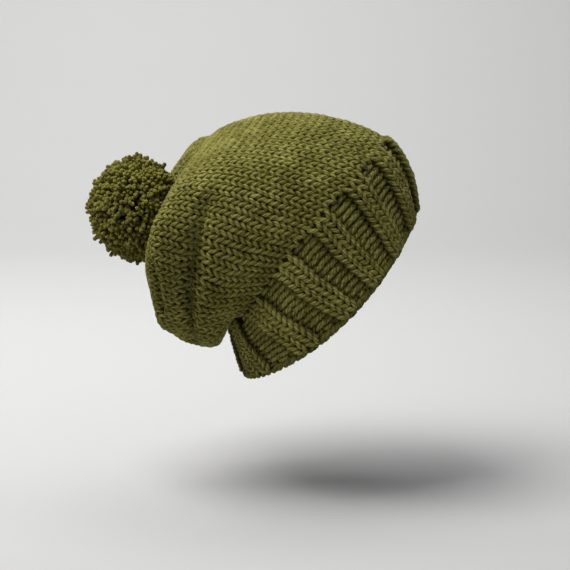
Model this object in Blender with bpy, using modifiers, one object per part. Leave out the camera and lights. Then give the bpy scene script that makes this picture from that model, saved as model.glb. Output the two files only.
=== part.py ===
"""Slouchy hand-knit beanie with a pom-pom, as an assembly of its knitted and tied pieces.

The hat is modelled as it sits on a head that faces +X: the brim opening faces down and forward,
the slack of the body falls behind, and the pom-pom lies in the dimple of the gathered crown.
The origin is the middle of the brim opening. Sizes are in millimetres up to the last step.
"""

import math

import bmesh
import bpy
import numpy as np
from mathutils import Matrix, Vector

MM = 0.001

# Knitting: rounds counted from the cast-on edge, and the wall that they make.
RIB_ROUNDS = 12
BODY_LAST_ROUND = 36
LAST_ROUND = 48
RIB_WALL = 9.0
BODY_WALL = 7.0
ROUND_STEP = 5.5
DEGREE_STEP = 1.6
SEAM_GAP = 0.2

# Rounds that set the outline. Each has its point over the forehead and top (x, z), its point at
# the side (x, z), its point at the nape and back (x, z), and its half width.
OUTLINE = (
    (0, (69.0, 73.0), (6.5, -7.0), (-70.0, -63.5), 72.0),
    (6, (62.5, 103.0), (-9.5, 26.0), (-75.5, -45.0), 74.0),
    (12, (44.0, 129.0), (-25.0, 59.0), (-83.5, -30.0), 76.0),
    (20, (2.0, 145.5), (-66.0, 64.0), (-113.5, -38.5), 79.0),
    (28, (-44.0, 149.0), (-105.0, 67.0), (-139.0, -14.0), 79.0),
    (35, (-84.0, 138.5), (-134.0, 67.0), (-139.5, 15.0), 72.0),
    (40, (-99.5, 122.0), (-137.0, 67.0), (-127.0, 32.0), 57.0),
    (44, (-105.0, 103.5), (-118.0, 72.0), (-115.0, 50.0), 38.0),
    (48, (-107.5, 86.0), (-108.0, 79.0), (-108.5, 72.0), 7.0),
)

# Folds of the slack fabric: from (round, angle) to (round, angle), width, and height, which is
# negative in a valley. An angle is 0 at the forehead and 180 at the nape, and a fold lies on
# both sides (0), on the near side at -Y only (-1) or on the far side only (1).
FOLDS = (
    ((12.5, 145), (12.5, 180), 9.0, -9.0, 0),
    ((16.5, 150), (16.5, 180), 10.0, 3.0, 0),
    ((29.0, 75), (20.0, 165), 9.0, -8.0, -1),
    ((35.0, 85), (26.0, 160), 9.0, 4.0, -1),
    ((23.0, 120), (16.0, 160), 10.0, 3.0, -1),
    ((31.0, 80), (23.0, 165), 9.0, -7.0, 1),
    ((24.0, 110), (18.0, 160), 10.0, 4.0, 1),
    ((36.0, 40), (38.0, 80), 13.0, 7.0, 1),
)

# Crown, tie and pom-pom: the tie leaves the crown and runs to the middle of the pom-pom.
CROWN = Vector((-108.0, 0.0, 79.0))
POMPOM = Vector((-153.5, 0.0, 73.0))
POMPOM_RADIUS = 43.0
POMPOM_FLATTENING = 0.8
CORE_BORE = 9.0
YARN_RADIUS = 1.6
CINCH_RING = 5.9
CINCH_YARN = 1.9
KNOT_AT = 15.5
KNOT_RADIUS = 4.0
CAST_ON_RADIUS = 3.4
RIB_START = 0.4
CLEARANCE = 0.8

AROUND = 40
MOSS = (0.17, 0.19, 0.035, 1.0)
DEEP_MOSS = (0.10, 0.12, 0.022, 1.0)

for old in list(bpy.data.objects):
    bpy.data.objects.remove(old)

beanie = bpy.data.collections.new("knit_beanie")
bpy.context.scene.collection.children.link(beanie)


def wool(name, colour, roughness):
    """A plain wool finish for one piece."""
    material = bpy.data.materials.new(name)
    material.use_nodes = True
    shader = material.node_tree.nodes["Principled BSDF"]
    shader.inputs["Base Color"].default_value = colour
    shader.inputs["Roughness"].default_value = roughness
    shader.inputs["Metallic"].default_value = 0.0
    return material


def add_piece(name, data, colour=MOSS, roughness=0.9):
    """Puts finished mesh or curve data in the collection as one named piece."""
    data.name = name
    data.materials.append(wool(name, colour, roughness))
    piece = bpy.data.objects.new(name, data)
    beanie.objects.link(piece)
    return piece


def eased(before, start, end, after, part):
    """Catmull-Rom value between start and end."""
    return 0.5 * (
        2 * start
        + (end - before) * part
        + (2 * before - 5 * start + 4 * end - after) * part**2
        + (3 * start - before - 3 * end + after) * part**3
    )


def outline_at(round_no):
    """Top, side and back points and the half width of the loop at any round."""
    rounds = [row[0] for row in OUTLINE]
    values = [np.array([*row[1], *row[2], *row[3], row[4]]) for row in OUTLINE]
    at = max(0, min(len(rounds) - 2, int(np.searchsorted(rounds, round_no, "right")) - 1))
    part = (round_no - rounds[at]) / (rounds[at + 1] - rounds[at])
    before = values[at - 1] if at > 0 else 2 * values[at] - values[at + 1]
    last = at + 2 < len(values)
    after = values[at + 2] if last else 2 * values[at + 1] - values[at]
    return eased(before, values[at], values[at + 1], after, part)


def smooth_wall(round_no, angle):
    """Middle of the wall before its folds. The angle is in radians, 0 at the forehead."""
    top_x, top_z, side_x, side_z, back_x, back_z, half = outline_at(round_no)
    middle = Vector(((top_x + back_x) / 2, 0, (top_z + back_z) / 2))
    reach = Vector(((top_x - back_x) / 2, 0, (top_z - back_z) / 2))
    side = Vector((side_x, 0, side_z)) - middle
    lobes = min(1.0, max(0.0, (round_no - 24) / 12))
    share = abs(math.sin(angle)) ** (2 - 0.6 * lobes)
    across = Vector((0, half * math.sin(angle), 0))
    return middle + reach * math.cos(angle) + side * share + across


def normal_of(surface, round_no, angle):
    """Outward normal of a surface given as a function of round and angle."""
    along = surface(round_no + 0.2, angle) - surface(round_no - 0.2, angle)
    around = surface(round_no, angle + 0.02) - surface(round_no, angle - 0.02)
    return around.cross(along).normalized()


def fold_height(round_no, angle):
    """How far the folds lift the wall off its smooth shape."""
    degrees = math.degrees(math.remainder(angle, 2 * math.pi))
    hand = math.tanh(degrees / 6)
    point = np.array([round_no * ROUND_STEP, abs(degrees) * DEGREE_STEP])
    scale = np.array([ROUND_STEP, DEGREE_STEP])
    height = 0.0
    for start, end, width, lift, side in FOLDS:
        first = np.array(start) * scale
        run = np.array(end) * scale - first
        share = min(1.0, max(0.0, float((point - first) @ run / (run @ run))))
        away = float(np.linalg.norm(point - first - share * run))
        there = 1.0 if side == 0 else (1 + side * hand) / 2
        height += there * lift * math.exp(-((away / width) ** 2))
    return height


def wall(round_no, angle):
    """Middle of the wall with its folds."""
    lift = fold_height(round_no, angle)
    return smooth_wall(round_no, angle) + normal_of(smooth_wall, round_no, angle) * lift


def knitted_wall(name, first, last, steps, thickness):
    """One stretch of the fabric between two rounds, as a closed wall open at both ends.

    A grid is wrapped round the hat one way, and the other way it runs up the outside of the
    wall, over its edge, down the inside and back to where it began.
    """
    rounds = [first + (last - first) * step / steps for step in range(steps + 1)]
    course = [(round_no, 0.5) for round_no in rounds]
    course += [(round_no, -0.5) for round_no in reversed(rounds)]
    course.append(course[0])
    mesh = bmesh.new()
    bmesh.ops.create_grid(mesh, x_segments=AROUND, y_segments=len(course) - 1, size=0.5)
    for vert in mesh.verts:
        angle = (vert.co.x + 0.5) * 2 * math.pi
        round_no, side = course[round((vert.co.y + 0.5) * (len(course) - 1))]
        normal = normal_of(wall, round_no, angle)
        vert.co = (wall(round_no, angle) + normal * side * thickness) * MM
    bmesh.ops.remove_doubles(mesh, verts=mesh.verts[:], dist=1e-6)
    bmesh.ops.recalc_face_normals(mesh, faces=mesh.faces[:])
    data = bpy.data.meshes.new(name)
    mesh.to_mesh(data)
    mesh.free()
    data.shade_smooth()
    return add_piece(name, data)


def yarn(name, points, radius, closed=False, colour=MOSS, sides=2):
    """A length of yarn as a round tube through points in millimetres."""
    curve = bpy.data.curves.new(name, "CURVE")
    curve.dimensions = "3D"
    curve.bevel_depth = radius * MM
    curve.bevel_resolution = sides
    curve.use_fill_caps = not closed
    spline = curve.splines.new("POLY")
    spline.points.add(len(points) - 1)
    for spot, point in zip(spline.points, points):
        spot.co = (*(point * MM), 1.0)
    spline.use_cyclic_u = closed
    return add_piece(name, curve, colour)


def turned(name, profile, origin, axis, steps, colour=MOSS):
    """A profile of (radius, height) points in millimetres, turned about an axis."""
    mesh = bmesh.new()
    for radius, height in profile:
        mesh.verts.new((radius * MM, 0, height * MM))
    mesh.verts.ensure_lookup_table()
    for one, two in zip(mesh.verts[:-1], mesh.verts[1:]):
        mesh.edges.new((one, two))
    if profile[0] == profile[-1]:
        bmesh.ops.remove_doubles(mesh, verts=mesh.verts[:], dist=1e-7)
    data = bpy.data.meshes.new(name)
    mesh.to_mesh(data)
    mesh.free()
    piece = add_piece(name, data, colour)
    turn = Vector((0, 0, 1)).rotation_difference(axis).to_matrix().to_4x4()
    piece.matrix_world = Matrix.Translation(origin * MM) @ turn
    screw = piece.modifiers.new("turn", "SCREW")
    screw.steps = steps
    screw.render_steps = steps
    screw.use_merge_vertices = True
    screw.merge_threshold = 1e-5
    return piece


def arc(radius_across, radius_along, start, end, steps, middle=0.0, lift=0.0):
    """Profile points of part of an ellipse, with angles in degrees from the +axis."""
    points = []
    for step in range(steps + 1):
        angle = math.radians(start + (end - start) * step / steps)
        across = middle + radius_across * math.sin(angle)
        points.append((across, lift + radius_along * math.cos(angle)))
    return points


def ring(radius, thickness, steps=8):
    """Profile of a round ring. It runs down its outer side and comes back up its inner side."""
    points = arc(thickness, thickness, 0, 360 - 360 / steps, steps - 1, middle=radius)
    return points + [points[0]]


# Fabric: the rib, the plain body and the gathered crown meet at their last and first rounds.
cast_on = []
for turn in range(56):
    angle = turn * math.pi / 28
    onward = (wall(RIB_START + 0.2, angle) - wall(RIB_START, angle)).normalized()
    cast_on.append(wall(RIB_START, angle) - onward * (CAST_ON_RADIUS + CLEARANCE))
yarn("cast_on_edge", cast_on, CAST_ON_RADIUS, closed=True)
knitted_wall("rib_brim", RIB_START, RIB_ROUNDS - SEAM_GAP, 5, RIB_WALL)
knitted_wall("knit_body", RIB_ROUNDS + SEAM_GAP, BODY_LAST_ROUND - SEAM_GAP, 12, BODY_WALL)
knitted_wall("gathered_crown", BODY_LAST_ROUND + SEAM_GAP, LAST_ROUND - 0.5, 7, BODY_WALL)

# Yarn ends that are woven in on the inside of the fabric, flat against it.
INSIDE = -(BODY_WALL / 2 + YARN_RADIUS + 0.6)
INSIDE_RIB = -(RIB_WALL / 2 + YARN_RADIUS + 0.6)


def woven_in(name, first, last, start_degrees, end_degrees, offset):
    """A yarn end that runs along the inside of the wall."""
    points = []
    for step in range(15):
        part = step / 14
        round_no = first + (last - first) * part
        angle = math.radians(start_degrees + (end_degrees - start_degrees) * part)
        points.append(wall(round_no, angle) + normal_of(wall, round_no, angle) * offset)
    return yarn(name, points, YARN_RADIUS)


woven_in("cast_on_tail", 1.0, 8.5, 128, 118, INSIDE_RIB)
woven_in("crown_tail", 45.0, 40.5, -62, -86, INSIDE)

# The tie: two strands from a knot inside the crown, out through its middle to the pom-pom.
axis = (POMPOM - CROWN).normalized()
turned("crown_cinch_yarn", ring(CINCH_RING, CINCH_YARN), CROWN, axis, 20)
for label, side in (("near", -1), ("far", 1)):
    shift = Vector((0, side * (YARN_RADIUS + 0.2), 0))
    points = [CROWN + shift + axis * along for along in (-5.0, -1.0, 3.0, 7.0, 10.2)]
    yarn(f"tie_strand_{label}", points, YARN_RADIUS)
turned("inner_knot", arc(4.4, 3.6, 0, 180, 6), CROWN - axis * 10.0, axis, 12)
turned("pompom_knot", arc(KNOT_RADIUS, KNOT_RADIUS, 0, 180, 6), CROWN + axis * KNOT_AT, axis, 12)

# The pom-pom: cut strands round a core that the binding yarn holds, flattened at the crown.
core_depth = (POMPOM - CROWN).length
bore_end = 6.0
outer = arc(POMPOM_RADIUS, POMPOM_RADIUS, 0, 90, 8)
flat_side = POMPOM_RADIUS * POMPOM_FLATTENING
mouth = 180 - math.degrees(math.asin(CORE_BORE / POMPOM_RADIUS))
inner = arc(POMPOM_RADIUS, flat_side, 90, mouth, 7)[1:]
bore = [(CORE_BORE, bore_end), (0.0, bore_end)]
turned("pompom_strands", outer + inner + bore, POMPOM, axis, 28, DEEP_MOSS)
turned("pompom_binding", ring(5.4, 3.0), POMPOM, axis, 20)
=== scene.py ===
import math

import bmesh
import bpy
import numpy as np
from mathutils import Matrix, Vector


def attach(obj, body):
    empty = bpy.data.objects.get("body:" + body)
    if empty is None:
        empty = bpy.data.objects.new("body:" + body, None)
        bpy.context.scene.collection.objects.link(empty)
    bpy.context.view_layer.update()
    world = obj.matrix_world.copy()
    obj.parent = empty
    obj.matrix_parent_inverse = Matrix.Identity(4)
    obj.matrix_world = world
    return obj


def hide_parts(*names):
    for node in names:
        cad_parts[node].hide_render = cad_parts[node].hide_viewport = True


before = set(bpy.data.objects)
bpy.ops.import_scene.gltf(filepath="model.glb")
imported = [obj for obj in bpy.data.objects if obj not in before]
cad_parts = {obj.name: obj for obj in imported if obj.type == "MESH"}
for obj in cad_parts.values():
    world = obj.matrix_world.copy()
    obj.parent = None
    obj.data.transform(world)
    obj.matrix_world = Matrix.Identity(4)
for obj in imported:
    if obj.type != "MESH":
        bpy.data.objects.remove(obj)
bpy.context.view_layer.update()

# Stage: a pale floor that rolls up behind as a studio sweep, one large soft light high on the
# left, a weak one from the right, and one behind that lights only the sweep.
MM = 0.001
FLOOR_HEIGHT = -0.165
FLOOR_FRONT = -9.0
FLOOR_BACK = 1.2
SWEEP_RADIUS = 0.8
SWEEP_STEPS = 8
SWEEP_TOP = 3.0
STAGE_WIDTH = 12.0
STAGE_GREY = (0.52, 0.517, 0.512, 1.0)


class Socket:
    """A shader value that can be written in sums. Numbers alone are worked out in Python."""

    def __init__(self, tree, link):
        self.tree = tree
        self.link = link

    def maths(self, operation, one, two):
        return add_node(self.tree, "ShaderNodeMath", {"operation": operation}, i0=one, i1=two)

    def __add__(self, other):
        return self.maths("ADD", self, other)

    __radd__ = __add__

    def __mul__(self, other):
        return self.maths("MULTIPLY", self, other)

    __rmul__ = __mul__


def add_node(tree, kind, settings=None, out=0, **values):
    """One node: its settings first, then its sockets by name, or by number as i0, i1."""
    made = tree.nodes.new(kind)
    for name, value in (settings or {}).items():
        if name == "stops":
            ramp = made.color_ramp
            while len(ramp.elements) < len(value):
                ramp.elements.new(0.5)
            for element, (place, colour) in zip(ramp.elements, value):
                element.position = place
                element.color = colour
        else:
            setattr(made, name, value)
    for name, value in values.items():
        numbered = name[0] == "i" and name[1:].isdigit()
        socket = made.inputs[int(name[1:]) if numbered else name.replace("_", " ")]
        if isinstance(value, Socket):
            tree.links.new(value.link, socket)
        else:
            socket.default_value = value
    return Socket(tree, made.outputs[out])


def new_material(name, roughness):
    """A material with its tree and shader, ready for its colour and bump."""
    material = bpy.data.materials.new(name)
    material.use_nodes = True
    tree = material.node_tree
    shader = tree.nodes["Principled BSDF"]
    shader.inputs["Roughness"].default_value = roughness
    return material, tree, shader


paper, _, paper_shader = new_material("pale_stage", 0.95)
paper_shader.inputs["Base Color"].default_value = STAGE_GREY
sweep = bmesh.new()
left = -STAGE_WIDTH / 2
edge = [sweep.verts.new((left, y, FLOOR_HEIGHT)) for y in (FLOOR_FRONT, FLOOR_BACK)]
for turn in range(1, SWEEP_STEPS + 1):
    lean = turn * math.pi / 2 / SWEEP_STEPS
    depth = FLOOR_BACK + SWEEP_RADIUS * math.sin(lean)
    lift = SWEEP_RADIUS * (1 - math.cos(lean))
    edge.append(sweep.verts.new((left, depth, FLOOR_HEIGHT + lift)))
edge.append(sweep.verts.new((left, FLOOR_BACK + SWEEP_RADIUS, FLOOR_HEIGHT + SWEEP_TOP)))
rail = [sweep.edges.new(pair) for pair in zip(edge[:-1], edge[1:])]
wide = bmesh.ops.extrude_edge_only(sweep, edges=rail)["geom"]
spread = [item for item in wide if isinstance(item, bmesh.types.BMVert)]
bmesh.ops.translate(sweep, verts=spread, vec=(STAGE_WIDTH, 0.0, 0.0))
bmesh.ops.recalc_face_normals(sweep, faces=sweep.faces[:])
floor_mesh = bpy.data.meshes.new("stage_sweep")
sweep.to_mesh(floor_mesh)
sweep.free()
floor_mesh.shade_smooth()
floor_mesh.materials.append(paper)
floor = bpy.data.objects.new("stage_sweep", floor_mesh)
bpy.context.scene.collection.objects.link(floor)

VIEW_HEIGHT = math.radians(11)
VIEW_DISTANCE = 1.3
VIEW_WIDTH = 0.473
AIM = Vector((-0.0365, 0.0, 0.0093))
camera_data = bpy.data.cameras.new("studio_camera")
camera_data.sensor_width = 36.0
camera_data.lens = camera_data.sensor_width * VIEW_DISTANCE / VIEW_WIDTH
camera = bpy.data.objects.new("studio_camera", camera_data)
bpy.context.scene.collection.objects.link(camera)
backwards = Vector((0.0, -math.cos(VIEW_HEIGHT), math.sin(VIEW_HEIGHT)))
camera.location = AIM + backwards * VIEW_DISTANCE
camera.rotation_euler = backwards.to_track_quat("Z", "Y").to_euler()
bpy.context.scene.camera = camera


def softbox(name, place, target, size, power):
    """A square soft light that faces a point."""
    data = bpy.data.lights.new(name, "AREA")
    data.size = size
    data.energy = power
    light = bpy.data.objects.new(name, data)
    light.location = place
    light.rotation_euler = (Vector(place) - Vector(target)).to_track_quat("Z", "Y").to_euler()
    bpy.context.scene.collection.objects.link(light)


softbox("key_light", (-0.82, -0.38, 1.6), AIM, 1.0, 39.5)
softbox("fill_light", (2.8, -2.6, 1.1), AIM, 2.6, 11.0)
softbox("sweep_light", (-0.35, 0.5, 1.5), (-0.35, 2.0, 0.5), 1.5, 27.0)
world = bpy.data.worlds.new("surround")
world.use_nodes = True
world.node_tree.nodes["Background"].inputs["Color"].default_value = (0.95, 0.96, 1.0, 1.0)
world.node_tree.nodes["Background"].inputs["Strength"].default_value = 0.18
bpy.context.scene.world = world
bpy.context.scene.view_settings.view_transform = "Standard"


# Ribbed brim: twelve rounds of bulky four-ply yarn, knit two and purl two, worked in the round
# from the cast-on edge. Every stitch is a loop drawn through the one below it, so each round is
# one long wave of yarn that follows the shape of the hat.
RIB_ROUNDS = 12
ROUND_STEP = 5.5
DEGREE_STEP = 1.6
# Round, then the top, side and back points of that round as x and z, then its half width.
OUTLINE = (
    (0, (69.0, 73.0), (6.5, -7.0), (-70.0, -63.5), 72.0),
    (6, (62.5, 103.0), (-9.5, 26.0), (-75.5, -45.0), 74.0),
    (12, (44.0, 129.0), (-25.0, 59.0), (-83.5, -30.0), 76.0),
    (20, (2.0, 145.5), (-66.0, 64.0), (-113.5, -38.5), 79.0),
    (28, (-44.0, 149.0), (-105.0, 67.0), (-139.0, -14.0), 79.0),
    (35, (-84.0, 138.5), (-134.0, 67.0), (-139.5, 15.0), 72.0),
    (40, (-99.5, 122.0), (-137.0, 67.0), (-127.0, 32.0), 57.0),
    (44, (-105.0, 103.5), (-118.0, 72.0), (-115.0, 50.0), 38.0),
    (48, (-107.5, 86.0), (-108.0, 79.0), (-108.5, 72.0), 7.0),
)
# Start and end as round and degrees from the forehead, width, lift, and side: -1 near, 1 far.
FOLDS = (
    ((12.5, 145), (12.5, 180), 9.0, -9.0, 0),
    ((16.5, 150), (16.5, 180), 10.0, 3.0, 0),
    ((29.0, 75), (20.0, 165), 10.0, -16.0, -1),
    ((35.0, 85), (26.0, 160), 9.0, 4.0, -1),
    ((32.5, 113), (27.5, 144), 6.0, -9.0, -1),
    ((23.0, 120), (16.0, 160), 10.0, 3.0, -1),
    ((31.0, 80), (23.0, 165), 9.0, -7.0, 1),
    ((24.0, 110), (18.0, 160), 10.0, 4.0, 1),
    ((36.0, 40), (38.0, 80), 13.0, 7.0, 1),
)
STITCHES = 56
POINTS_PER_STITCH = 20
YARN_RADIUS = 1.98
FINER_LOOPS = 0.75
LOOP_REACH = 0.95
LOOP_WAIST = 0.27
LOOP_DEPTH = 2.3
RIB_STEP = 2.6
RIB_PHASE = 2
RIB_TURN = math.radians(2.4)
RIB_LEAN = math.radians(24)
BODY_LEAN = math.radians(20)
BODY_LEAN_ROUNDS = 21.0
PLY_PITCH = 13.0
SETTLE = -0.8
LOOP_CHANCE = (0.04, 0.05, 0.08, 0.05)
VALLEY_START = 0.35

levels = np.array([row[0] for row in OUTLINE], float)
shapes = np.array([[*row[1], *row[2], *row[3], row[4]] for row in OUTLINE], float)


def outline_at(rounds):
    """Top, side and back points and half width at each round, eased between the outline's."""
    at = np.clip(np.searchsorted(levels, rounds, "right") - 1, 0, len(levels) - 2)
    part = ((rounds - levels[at]) / (levels[at + 1] - levels[at]))[:, None]
    start = shapes[at]
    end = shapes[at + 1]
    before = np.where(at[:, None] > 0, shapes[at - 1], 2 * start - end)
    last = at[:, None] + 2 < len(levels)
    after = np.where(last, shapes[np.minimum(at + 2, len(levels) - 1)], 2 * end - start)
    return 0.5 * (
        2 * start
        + (end - before) * part
        + (2 * before - 5 * start + 4 * end - after) * part**2
        + (3 * start - before - 3 * end + after) * part**3
    )


def smooth_wall(rounds, angles):
    """Middle of the fabric before its folds, in millimetres. Angle 0 is at the forehead."""
    top_x, top_z, side_x, side_z, back_x, back_z, half = outline_at(rounds).T
    lobes = np.clip((rounds - 24) / 12, 0, 1)
    share = np.abs(np.sin(angles)) ** (2 - 0.6 * lobes)
    cosine = np.cos(angles)
    mid_x = (top_x + back_x) / 2
    mid_z = (top_z + back_z) / 2
    x = mid_x + (top_x - back_x) / 2 * cosine + (side_x - mid_x) * share
    z = mid_z + (top_z - back_z) / 2 * cosine + (side_z - mid_z) * share
    return np.stack([x, half * np.sin(angles), z], axis=1)


def normals_of(surface, rounds, angles):
    """Outward normals of a surface given as a function of rounds and angles."""
    along = surface(rounds + 0.2, angles) - surface(rounds - 0.2, angles)
    around = surface(rounds, angles + 0.02) - surface(rounds, angles - 0.02)
    normals = np.cross(around, along)
    return normals / np.linalg.norm(normals, axis=1)[:, None]


def fold_height(rounds, angles):
    """How far the folds lift the fabric off its smooth shape."""
    degrees = np.degrees(np.arctan2(np.sin(angles), np.cos(angles)))
    hand = np.tanh(degrees / 6)
    points = np.stack([rounds * ROUND_STEP, np.abs(degrees) * DEGREE_STEP], axis=1)
    height = np.zeros(len(rounds))
    for start, end, width, lift, side in FOLDS:
        first = np.array(start) * (ROUND_STEP, DEGREE_STEP)
        run = np.array(end) * (ROUND_STEP, DEGREE_STEP) - first
        share = np.clip((points - first) @ run / (run @ run), 0, 1)
        away = np.linalg.norm(points - first - share[:, None] * run, axis=1)
        there = (1 + side * hand) / 2 if side else 1.0
        if side and lift < 0:
            there *= VALLEY_START + (1 - VALLEY_START) * np.minimum(1, share * 2.5)
        height += there * lift * np.exp(-((away / width) ** 2))
    return height


def wall(rounds, angles):
    """Middle of the fabric with its folds, in millimetres."""
    lift = fold_height(rounds, angles)[:, None]
    return smooth_wall(rounds, angles) + normals_of(smooth_wall, rounds, angles) * lift


def leaning(rounds, angles):
    """Where the columns of stitches really run. They bend at the sides as the slack body sags."""
    turn = np.arctan2(np.sin(angles), np.cos(angles))
    share = np.clip(np.abs(turn) / math.pi, 1e-6, 1)
    below = (RIB_ROUNDS + 0.5 - rounds) / RIB_ROUNDS
    above = -below * RIB_ROUNDS / BODY_LEAN_ROUNDS
    below = (below + np.sqrt(below**2 + 0.04)) / 2
    above = np.clip((above + np.sqrt(above**2 + 0.01)) / 2, 0, 1)
    shift = RIB_LEAN * np.sin(math.pi * share**1.8) * below
    shift += BODY_LEAN * np.sin(math.pi * share**0.88) ** 3 * above
    return turn - np.sign(turn) * shift


def eased_kind(kinds, stitch, part):
    """Knit is 1 and purl is -1. The yarn passes half way between the two where they meet."""
    here = kinds[stitch]
    before = (kinds[stitch - 1] + here) / 2
    after = (kinds[(stitch + 1) % len(kinds)] + here) / 2
    rise = np.clip(part * 4, 0, 1)
    fall = np.clip((1 - part) * 4, 0, 1)
    rise = rise * rise * (3 - 2 * rise)
    fall = fall * fall * (3 - 2 * fall)
    return np.where(part < 0.5, before + (here - before) * rise, after + (here - after) * fall)


def round_of_yarn(level, rise, kinds, rib_step, chance):
    """Path of one round of stitches, with its yarn radius and the way out at each point."""
    count = len(kinds)
    steps = np.arange(count * POINTS_PER_STITCH)
    stitch = steps // POINTS_PER_STITCH
    part = steps / POINTS_PER_STITCH - stitch
    shift, longer, deeper, thicker = (chance.normal(0, wide, count) for wide in LOOP_CHANCE)
    reach = LOOP_REACH * (1 + longer)
    depth = LOOP_DEPTH * (1 + deeper)
    swell = 1 + thicker

    def blended(values):
        turn = 0.5 - 0.5 * np.cos(2 * math.pi * part)
        edges = np.where(part < 0.5, values[stitch - 1], values[(stitch + 1) % count])
        return values[stitch] * (0.5 + 0.5 * turn) + edges * (0.5 - 0.5 * turn)

    across = stitch + part + LOOP_WAIST * np.sin(4 * math.pi * part) + blended(shift)
    up = level + rise * (0.5 - blended(reach) * np.cos(2 * math.pi * part))
    kind = eased_kind(kinds, stitch, part)
    bow = np.cos(4 * math.pi * part)
    bow = 1.25 * bow - 0.25 * bow**3
    out = kind * (rib_step - blended(depth) * bow) + SETTLE
    angles = leaning(up, 2 * math.pi * across / count + math.pi + RIB_TURN)
    middle = wall(up, angles)
    normals = normals_of(wall, up, angles)
    spacing = np.linalg.norm(wall(up + 0.5, angles) - wall(up - 0.5, angles), axis=1)
    snug = np.clip(spacing / ROUND_STEP, 0.6, 1.05) ** 0.5
    finer = min(1, (STITCHES / count) ** FINER_LOOPS)
    radius = YARN_RADIUS * snug * blended(swell) * finer
    out = out * snug
    # The last value, how far each point bulges out of its round, sets the painted shade.
    return middle + normals * out[:, None], radius, normals, out - kind * rib_step * snug


PLIES = 4
PLY_SIDES = (1.03, 1.03, 0.82)
# Painted shade: the yarn's colour darkens with how deep its surface lies in the fabric; loose
# yarn laid without normals gets one even level.
LOOSE_YARN_PAINTED_LIGHT = 1.2
PAINTED_DARK_BELOW = -1.6
PAINTED_LIGHT_SPAN = 5.2
FIBRE_STRETCH = 0.16
FIBRE_STEP = 3.7


def ply_profile(name, plies, sides):
    """Cross-section of plied yarn with a groove between plies, at a radius of one metre."""
    data = bpy.data.curves.new(name, "CURVE")
    spline = data.splines.new("POLY")
    spline.points.add(plies * len(sides) - 1)
    for step, point in enumerate(spline.points):
        turn = 2 * math.pi * step / len(spline.points)
        bulge = sides[step % len(sides)]
        point.co = (bulge * math.cos(turn), bulge * math.sin(turn), 0.0, 1.0)
    spline.use_cyclic_u = True
    return bpy.data.objects.new(name, data)


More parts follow.
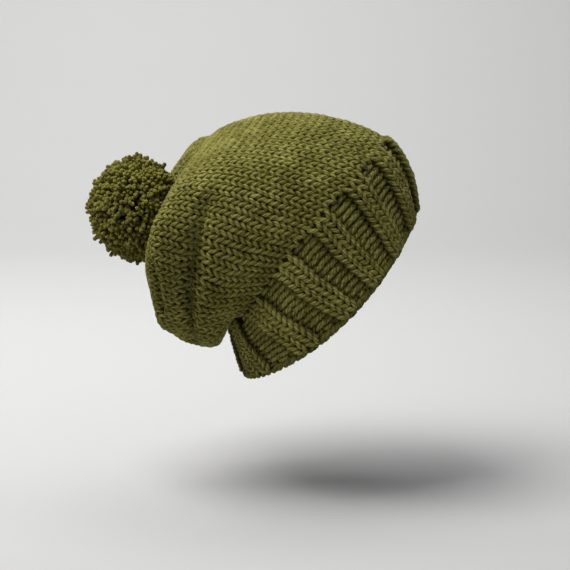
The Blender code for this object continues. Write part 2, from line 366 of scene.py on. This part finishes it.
class Yarn:
    """Lengths of twisted yarn that are laid one after another and become one mesh."""

    def __init__(self, name, sides=PLY_SIDES):
        self.name = name
        self.profile = ply_profile(name + "_ply", PLIES, sides)
        self.curve = bpy.data.curves.new(name, "CURVE")
        self.curve.dimensions = "3D"
        self.curve.twist_mode = "MINIMUM"
        self.curve.bevel_mode = "OBJECT"
        self.curve.bevel_object = self.profile
        self.curve.use_fill_caps = True
        self.sides = PLIES * len(sides)
        self.grooves = np.tile(np.array(sides) / max(sides), PLIES)
        self.rows = []

    def lay(self, points, radius, closed=False, normals=None, out=None, pitch=PLY_PITCH):
        """Adds one length. With normals, painted shade darkens what lies deep in the fabric;
        without them it gets one even level of painted shade.
        """
        count = len(points)
        spline = self.curve.splines.new("POLY")
        spline.points.add(count - 1)
        coordinates = np.ones((count, 4))
        coordinates[:, :3] = points * MM
        radius = np.broadcast_to(radius, count)
        spline.points.foreach_set("co", coordinates.ravel())
        spline.points.foreach_set("radius", radius * MM)
        follow = np.roll(points, -1, axis=0) - points if closed else np.diff(points, axis=0)
        travelled = np.concatenate([[0.0], np.cumsum(np.linalg.norm(follow, axis=1))])
        turns = travelled[-1] / pitch
        if closed:
            turns = round(turns * PLIES) / PLIES
        tilt = -travelled[:count] / travelled[-1] * turns * 2 * math.pi
        spline.points.foreach_set("tilt", tilt)
        spline.use_cyclic_u = closed
        if normals is None:
            normals = np.zeros((count, 3))
            out = np.full(count, LOOSE_YARN_PAINTED_LIGHT)
        self.rows.append((points, radius, normals, out, travelled[:count]))

    def mesh(self, material):
        """The finished mesh, with fibre coordinates and a painted shade that darkens its recesses
        and the grooves between its plies.
        """
        guide = bpy.data.objects.new(self.name, self.curve)
        bpy.context.scene.collection.objects.link(guide)
        graph = bpy.context.evaluated_depsgraph_get()
        data = bpy.data.meshes.new_from_object(guide.evaluated_get(graph))
        bpy.data.objects.remove(guide)
        bpy.data.objects.remove(self.profile)
        points, radius, normals, out, travelled = (np.concatenate(row) for row in zip(*self.rows))
        counts = [len(row[0]) for row in self.rows]
        lengths = np.repeat(np.arange(len(counts)), counts)[:, None] * FIBRE_STEP
        caps = len(data.vertices) - len(points) * self.sides
        places = np.zeros(len(data.vertices) * 3)
        data.vertices.foreach_get("co", places)
        places = places.reshape(-1, 3)[caps:].reshape(-1, self.sides, 3) / MM
        # Painted shade: surface lying deeper, and the grooves between plies, get a darker colour.
        outward = ((places - points[:, None]) * normals[:, None]).sum(2) + out[:, None]
        depth = np.clip((outward - PAINTED_DARK_BELOW) / PAINTED_LIGHT_SPAN, 0, 1)
        shade = (depth * (self.grooves * 1.6 - 0.6)[None]).astype(np.float32)
        turn = 2 * math.pi * np.arange(self.sides) / self.sides
        fibre = np.zeros((len(points), self.sides, 3), np.float32)
        fibre[:, :, 0] = travelled[:, None] * FIBRE_STRETCH
        fibre[:, :, 1] = radius[:, None] * np.cos(turn) + lengths
        fibre[:, :, 2] = radius[:, None] * np.sin(turn)
        starts = np.cumsum([0] + counts[:-1])
        ends = np.cumsum(counts) - 1
        rings = np.stack([ends, starts], axis=1)[::-1].ravel() if caps else np.zeros(0, int)
        painted_shades = np.concatenate([shade[rings].ravel(), shade.ravel()])
        fibres = np.concatenate([fibre[rings].reshape(-1, 3), fibre.reshape(-1, 3)])
        data.attributes.new("shade", "FLOAT", "POINT").data.foreach_set("value", painted_shades)
        data.attributes.new("fibre", "FLOAT_VECTOR", "POINT").data.foreach_set(
            "vector", fibres.ravel()
        )
        data.name = self.name
        data.materials.clear()
        data.materials.append(material)
        data.shade_smooth()
        return data


def placed(name, data, body, node):
    """Puts a finished mesh in the scene in place of a CAD node, riding on its body."""
    piece = bpy.data.objects.new(name, data)
    bpy.context.scene.collection.objects.link(piece)
    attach(piece, body)
    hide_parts(node)


def wool(name, stops):
    """Bulky wool: heathered colour darkened by painted shade in its recesses, fine fibres along
    the yarn and a soft sheen.
    """
    material, tree, shader = new_material(name, 0.9)
    place = add_node(tree, "ShaderNodeTexCoord", out=3)
    shade = add_node(tree, "ShaderNodeAttribute", {"attribute_name": "shade"}, out=2)
    fibre = add_node(tree, "ShaderNodeAttribute", {"attribute_name": "fibre"}, out=1)
    patch = add_node(tree, "ShaderNodeTexNoise", Vector=place, Scale=60.0, Detail=3.0)
    streak = add_node(tree, "ShaderNodeTexNoise", Vector=fibre, Scale=1.5, Detail=4.0)
    # The painted shade attribute darkens the colour in recesses, mixed with the heather and fibre
    # noise.
    mixed = shade * 0.64 + patch * 0.45 + streak * 0.9 + (-0.51)
    colour = add_node(tree, "ShaderNodeValToRGB", {"stops": stops}, Fac=mixed)
    tree.links.new(colour.link, shader.inputs["Base Color"])
    bump = add_node(tree, "ShaderNodeBump", Height=streak, Strength=1.0, Distance=0.0012)
    tree.links.new(bump.link, shader.inputs["Normal"])
    shader.inputs["Sheen Weight"].default_value = 0.12
    shader.inputs["Sheen Roughness"].default_value = 0.5
    shader.inputs["Sheen Tint"].default_value = (0.7, 0.75, 0.3, 1.0)
    shader.inputs["Specular IOR Level"].default_value = 0.15
    return material


# Colour ramp: its dark end is painted shade for the recesses, its light end the wool's own colour
# on the outermost yarn.
moss_wool = wool(
    "moss_wool",
    (
        (0.08, (0.014, 0.01, 0.001, 1.0)),
        (0.38, (0.07, 0.061, 0.008, 1.0)),
        (0.62, (0.175, 0.162, 0.03, 1.0)),
        (0.9, (0.36, 0.34, 0.1, 1.0)),
    ),
)
chance = np.random.default_rng(11)
rib_kinds = np.where((np.arange(STITCHES) + RIB_PHASE) % 4 < 2, 1.0, -1.0)


def knit_band(name, node, levels_in_band, rise, kinds, rib_step=0.0):
    """One band of rounds as a piece for a CAD node. A dark sheet in its middle closes the gaps as
    painted shade.
    """
    yarn = Yarn(name)
    for level in levels_in_band:
        points, radius, normals, out = round_of_yarn(level, rise, kinds, rib_step, chance)
        yarn.lay(points, radius, True, normals, out)
    data = yarn.mesh(moss_wool)
    gap_shade_sheet = bmesh.new()
    gap_shade_sheet.from_mesh(data)
    columns = 4 * len(kinds)
    rows = 2 * len(levels_in_band)
    # The sheet's points carry no painted shade value, so it is coloured from the dark end of the
    # ramp: painted shade in the gaps between stitches.
    grid = bmesh.ops.create_grid(gap_shade_sheet, x_segments=columns, y_segments=rows, size=1.0)["verts"]
    across = np.array([(vert.co.x + 1) / 2 * len(kinds) for vert in grid])
    up = np.array([(vert.co.y + 1) / 2 for vert in grid])
    up = levels_in_band[0] + up * rise * len(levels_in_band)
    stitch = np.floor(across + 1e-6).astype(int) % len(kinds)
    kind = eased_kind(kinds, stitch, across - np.floor(across + 1e-6))
    angles = leaning(up, 2 * math.pi * across / len(kinds) + math.pi + RIB_TURN)
    lift = (kind * rib_step + SETTLE)[:, None]
    places = wall(up, angles) + normals_of(wall, up, angles) * lift
    for vert, place in zip(grid, places):
        vert.co = place * MM
    bmesh.ops.remove_doubles(gap_shade_sheet, verts=grid, dist=0.00001)
    gap_shade_sheet.to_mesh(data)
    gap_shade_sheet.free()
    data.shade_smooth()
    placed(name, data, "hat", node)


# Cast-on edge: two strands twisted round each other, one turn to a stitch, under the first round.
EDGE_DROP = 1.0
EDGE_TWIST = 1.5
EDGE_YARN = 1.9
EDGE_POINTS = 12
edge_steps = np.arange(STITCHES * EDGE_POINTS) / EDGE_POINTS
edge_level = np.zeros(len(edge_steps))
edge_angles = leaning(edge_level, 2 * math.pi * edge_steps / STITCHES + math.pi + RIB_TURN)
edge_middle = wall(edge_level, edge_angles)
edge_normals = normals_of(wall, edge_level, edge_angles)
onward = wall(edge_level + 0.2, edge_angles) - edge_middle
onward /= np.linalg.norm(onward, axis=1)[:, None]
edge_yarn = Yarn("cast_on_rope")
for strand in range(2):
    spin = (2 * math.pi * edge_steps + math.pi * strand)[:, None]
    swing = edge_normals * np.cos(spin) + onward * np.sin(spin)
    path = edge_middle - onward * EDGE_DROP + edge_normals * SETTLE + swing * EDGE_TWIST
    edge_yarn.lay(path, EDGE_YARN, True)
placed("cast_on_rope", edge_yarn.mesh(moss_wool), "hat", "cast_on_edge")

# The rib goes on above the edge in two bands of six rounds.
knit_band("rib_lower", "rib_brim", range(6), 1.0, rib_kinds, RIB_STEP)
knit_band("rib_upper", "rib_brim", range(6, RIB_ROUNDS), 1.0, rib_kinds, RIB_STEP)

# Plain body: twenty-two rounds of stocking stitch above the rib, all knit stitches. Twelve more
# stitches are made in its first round, so the slack fabric stands fuller than the rib.
BODY_LAST_ROUND = 36
BODY_RISE = 12 / 11
BODY_STITCHES = 68
BODY_BANDS = ((0, 5), (5, 10), (10, 14), (14, 18), (18, 22))
for band, (first, last) in enumerate(BODY_BANDS, 1):
    band_levels = RIB_ROUNDS + BODY_RISE * np.arange(first, last)
    knit_band(f"body_band_{band}", "knit_body", band_levels, BODY_RISE, np.ones(BODY_STITCHES))

# Crown: eleven rounds that lose stitches as they close up, down to the last seventeen, which one
# end of the yarn is drawn through and pulled tight.
CROWN_BANDS = ((0, 2, 68), (2, 5, 51), (5, 8, 34), (8, 11, 17))
for band, (first, last, count) in enumerate(CROWN_BANDS, 1):
    band_levels = BODY_LAST_ROUND + BODY_RISE * np.arange(first, last)
    knit_band(f"crown_band_{band}", "gathered_crown", band_levels, BODY_RISE, np.ones(count))


# Yarn ends: the cast-on end is woven in up the inside of the rib and the crown's end runs round
# under the last stitches before it is woven in. Both lie against the fabric.
END_YARN = 1.6
END_POINTS = 60
END_DIP = 0.7
END_WAVES = 7


def woven_in(name, node, first, last, start_degrees, end_degrees, depth):
    """A yarn end that dips in and out along the inside of the fabric."""
    part = np.linspace(0, 1, END_POINTS)
    rounds = first + (last - first) * part
    angles = np.radians(start_degrees + (end_degrees - start_degrees) * part)
    dip = depth + END_DIP * np.sin(part * END_WAVES * 2 * math.pi)
    path = wall(rounds, angles) - normals_of(wall, rounds, angles) * dip[:, None]
    yarn = Yarn(name)
    yarn.lay(path, END_YARN)
    placed(name, yarn.mesh(moss_wool), "hat", node)


woven_in("cast_on_end", "cast_on_tail", 1.0, 8.5, 128, 118, 6.3)
woven_in("crown_end", "crown_tail", 45.0, 40.5, -62, -86, 5.3)

# Cinch: the end of the yarn drawn through the last seventeen stitches in a ring, which closes
# the crown. It ripples up and down as it passes from stitch to stitch.
CINCH_RADIUS = 5.7
CINCH_YARN = 1.8
CINCH_WAVE = 0.5
CINCH_LIFT = 0.6
LAST_STITCHES = 17
CROWN = np.array((-108.0, 0.0, 79.0))
POMPOM = np.array((-153.5, 0.0, 73.0))
tie_length = np.linalg.norm(POMPOM - CROWN)
tie_way = (POMPOM - CROWN) / tie_length
sideways = np.array((0.0, 1.0, 0.0))
upwards = np.cross(sideways, tie_way)


def around_tie(along, across, up):
    """Points in millimetres measured from the crown along the tie and square to it."""
    return CROWN + np.outer(along, tie_way) + np.outer(across, sideways) + np.outer(up, upwards)


turns = np.linspace(0, 2 * math.pi, 96, endpoint=False)
ripple = CINCH_RADIUS + CINCH_WAVE * np.cos(LAST_STITCHES * turns)
lift = CINCH_LIFT * np.sin(LAST_STITCHES * turns)
cinch_yarn = Yarn("cinch_yarn")
cinch_yarn.lay(around_tie(lift, ripple * np.cos(turns), ripple * np.sin(turns)), CINCH_YARN, True)
placed("cinch_yarn", cinch_yarn.mesh(moss_wool), "hat", "crown_cinch_yarn")


# Tie: two strands of the same yarn from a knot inside the crown, out through the cinched
# stitches to the knot at the pom-pom's core. Each is plied like the rest.
TIE_YARN = 1.6
TIE_START = -5.0
TIE_END = 10.2
TIE_POINTS = 16
TIE_APART = 1.8


def small_knot(name, node, centre, size, body):
    """A tight overhand knot in one strand, pulled up small."""
    turn = np.linspace(0, 2 * math.pi, 72, endpoint=False)
    across = np.sin(turn) + 2 * np.sin(2 * turn)
    up = np.cos(turn) - 2 * np.cos(2 * turn)
    path = around_tie(centre - size * 0.9 * np.sin(3 * turn), size * across, size * up)
    yarn = Yarn(name)
    yarn.lay(path, size * 1.05, True)
    placed(name, yarn.mesh(moss_wool), body, node)


small_knot("tie_knot_inside", "inner_knot", -10.0, 1.15, "hat")
small_knot("tie_knot_outside", "pompom_knot", 15.5, 1.1, "knot")
for label, side in (("near", -1), ("far", 1)):
    along = np.linspace(TIE_START, TIE_END, TIE_POINTS)
    beside = np.full(TIE_POINTS, side * TIE_APART)
    tie_yarn = Yarn(f"tie_{label}")
    tie_yarn.lay(around_tie(along, beside, np.zeros(TIE_POINTS)), TIE_YARN)
    placed(f"tie_{label}", tie_yarn.mesh(moss_wool), "tie", f"tie_strand_{label}")

# Pom-pom: yarn wound over a frame, bound tightly round the middle, cut, and trimmed to a ball of
# a few thousand soft ends. The side against the crown is pressed a little flat.
POMPOM_RADIUS = 42.8
FLAT_SIDE = 33.0
STRANDS = 3400
STRAND_RINGS = (12.0, 30.0, 38.0, 41.8, 42.8)
STRAND_WIDTHS = (0.8, 1.3, 1.7, 1.75, 0.95)
# Painted shade along each strand, as depth in millimetres: darkest at the core, lightest at the
# tips.
STRAND_PAINTED_SHADE = (-1.6, -0.6, 1.0, 2.4, 3.2)
STRAND_SIDES = (1.05, 0.85)
STRAND_PITCH = 24.0
STRAY_TURN = 0.03
STRAY_LEAN = 1.7
UNEVEN_WIDTH = 0.1
UNEVEN_CUT = 0.024
UNEVEN_CUT_AT_CROWN = 0.012
LONG_ENDS = 0.02
LONG_END_REACH = 0.06
CUT_AT_CROWN = 0.065
CLUMPS = 60
CLUMP_PULL = 0.05
# Colour ramp: its dark end is painted shade deep in the pom-pom, its light end the wool's own
# colour at the strand tips.
cut_wool = wool(
    "cut_wool",
    (
        (0.1, (0.012, 0.009, 0.001, 1.0)),
        (0.4, (0.07, 0.06, 0.006, 1.0)),
        (0.65, (0.17, 0.155, 0.022, 1.0)),
        (0.92, (0.33, 0.31, 0.075, 1.0)),
    ),
)
trim = np.random.default_rng(5)
golden = math.pi * (3 - math.sqrt(5))
clumps = trim.normal(0, 1, (CLUMPS, 3))
clumps /= np.linalg.norm(clumps, axis=1)[:, None]
share = np.array(STRAND_RINGS) / POMPOM_RADIUS
tufts = [Yarn(f"cut_strands_{label}", STRAND_SIDES) for label in ("near", "far")]
for number in range(STRANDS):
    level = 1 - 2 * (number + 0.5) / STRANDS
    spin = number * golden
    out = math.sqrt(1 - level * level)
    way = tie_way * level + sideways * out * math.cos(spin) + upwards * out * math.sin(spin)
    gather = clumps[np.argmax(clumps @ way)] - way
    way = way + trim.normal(0, STRAY_TURN, 3) + CLUMP_PULL * gather
    way /= np.linalg.norm(way)
    facing = float(way @ tie_way)
    depth = POMPOM_RADIUS if facing > 0 else FLAT_SIDE
    reach = 1 / math.sqrt((1 - facing * facing) / POMPOM_RADIUS**2 + (facing / depth) ** 2)
    reach *= 1 - CUT_AT_CROWN * max(0.0, min(1.0, 0.4 - 2.5 * facing))
    uneven = trim.normal(-0.01, UNEVEN_CUT if facing > -0.2 else UNEVEN_CUT_AT_CROWN)
    if facing > 0 and trim.random() < LONG_ENDS:
        uneven += LONG_END_REACH
    reach *= 1 + uneven
    lean = trim.normal(0, STRAY_LEAN, 3)
    path = POMPOM + np.outer(share * reach, way) + np.outer(share**3, lean)
    widths = np.array(STRAND_WIDTHS) * (1 + trim.normal(0, UNEVEN_WIDTH))
    half = tufts[int(way[1] > 0)]
    ways = np.tile(way, (len(STRAND_RINGS), 1))
    half.lay(path, widths, False, ways, np.array(STRAND_PAINTED_SHADE), STRAND_PITCH)
for tuft in tufts:
    placed(tuft.name, tuft.mesh(cut_wool), "pompom", "pompom_strands")

# Binding: a length of the same yarn wound three times round the middle of the cut strands and
# pulled tight, which holds them together at the core.
BINDING_RADIUS = 5.6
BINDING_YARN = 1.5
BINDING_TURNS = 3
BINDING_SPREAD = 2.4
BINDING_POINTS = 90
wraps = np.linspace(0, 2 * math.pi * BINDING_TURNS, BINDING_POINTS)
lay = tie_length + np.linspace(-BINDING_SPREAD, BINDING_SPREAD, BINDING_POINTS)
across = BINDING_RADIUS * np.cos(wraps)
up = BINDING_RADIUS * np.sin(wraps)
binding_yarn = Yarn("binding_yarn")
binding_yarn.lay(around_tie(lay, across, up), BINDING_YARN)
placed("binding_yarn", binding_yarn.mesh(moss_wool), "pompom", "pompom_binding")
